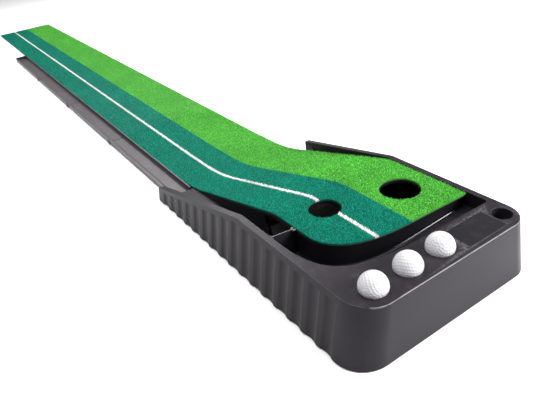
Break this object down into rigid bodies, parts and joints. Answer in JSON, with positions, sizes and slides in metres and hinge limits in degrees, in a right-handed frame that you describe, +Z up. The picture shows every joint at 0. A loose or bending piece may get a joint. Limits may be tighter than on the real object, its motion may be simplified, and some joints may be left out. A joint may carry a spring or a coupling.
{
  "type": "practice putting mat",
  "caption": "Indoor putting mat: sloped two-tone turf with two holes on a moulded base, ball return channel and gutters, ball wells.",
  "frame": {"origin": "middle of the footprint, at floor level", "axes": "+Y along the turf from the ball deck to the putting end, +Z up, +X to the golfer's left when facing the holes (right seen from the ball deck)"},
  "size_m": [0.3696, 3.0008, 0.1289],
  "materials": {
    "shell": "fine textured satin, dark warm grey",
    "bed": "smooth black moulding",
    "tray": "plain black moulding",
    "backing": "dull latex backing",
    "pile": "short curled putting turf, light green lane, dark green lane, white aim line",
    "grip": "woven hook tape",
    "baffle": "smooth black plate",
    "label": "blank dark plate",
    "gutter": "satin grey plastic",
    "ball": "dimpled white cover",
    "foot": "black rubber",
    "screw": "plated pan head"
  },
  "bodies": {
    "base": {"base_shell": "shell", "ramp_platform": "bed", "ball_tray": "tray", "turf_backing_bed": "backing", "turf_backing_ramp": "backing", "turf_backing_run": "backing", "turf_pile": "pile", "grip_strip_1": "grip", "grip_strip_2": "grip", "label_plate": "label", "rubber_foot_1": "foot", "rubber_foot_2": "foot", "rubber_foot_3": "foot", "rubber_foot_4": "foot", "rubber_foot_5": "foot", "rubber_foot_6": "foot", "platform_screw_1": "screw", "platform_screw_2": "screw", "platform_screw_3": "screw", "platform_screw_4": "screw"},
    "baffle": {"return_baffle": "baffle"},
    "gutter_1": {"gutter_section_1": "gutter"},
    "gutter_2": {"gutter_section_2": "gutter"},
    "gutter_3": {"gutter_section_3": "gutter"},
    "gutter_4": {"gutter_section_4": "gutter"},
    "ball_1": {"golf_ball_1": "ball"},
    "ball_2": {"golf_ball_2": "ball"},
    "ball_3": {"golf_ball_3": "ball"}
  },
  "joints": [
    {"name": "baffle_lift", "type": "slide", "parent": "base", "child": "baffle", "axis": [0, 0, 1], "range_m": [0, 0.05]},
    {"name": "gutter_1_pull", "type": "slide", "parent": "base", "child": "gutter_1", "axis": [0, 1, 0], "range_m": [0, 0.04]},
    {"name": "gutter_2_pull", "type": "slide", "parent": "gutter_1", "child": "gutter_2", "axis": [0, 1, 0], "range_m": [0, 0.04]},
    {"name": "gutter_3_pull", "type": "slide", "parent": "gutter_2", "child": "gutter_3", "axis": [0, 1, 0], "range_m": [0, 0.04]},
    {"name": "gutter_4_pull", "type": "slide", "parent": "gutter_3", "child": "gutter_4", "axis": [0, 1, 0], "range_m": [0, 0.04]},
    {"name": "ball_1_lift", "type": "slide", "parent": "base", "child": "ball_1", "axis": [0, 0, 1], "range_m": [0, 0.06]},
    {"name": "ball_2_lift", "type": "slide", "parent": "base", "child": "ball_2", "axis": [0, 0, 1], "range_m": [0, 0.06]},
    {"name": "ball_3_lift", "type": "slide", "parent": "base", "child": "ball_3", "axis": [0, 0, 1], "range_m": [0, 0.06]}
  ]
}
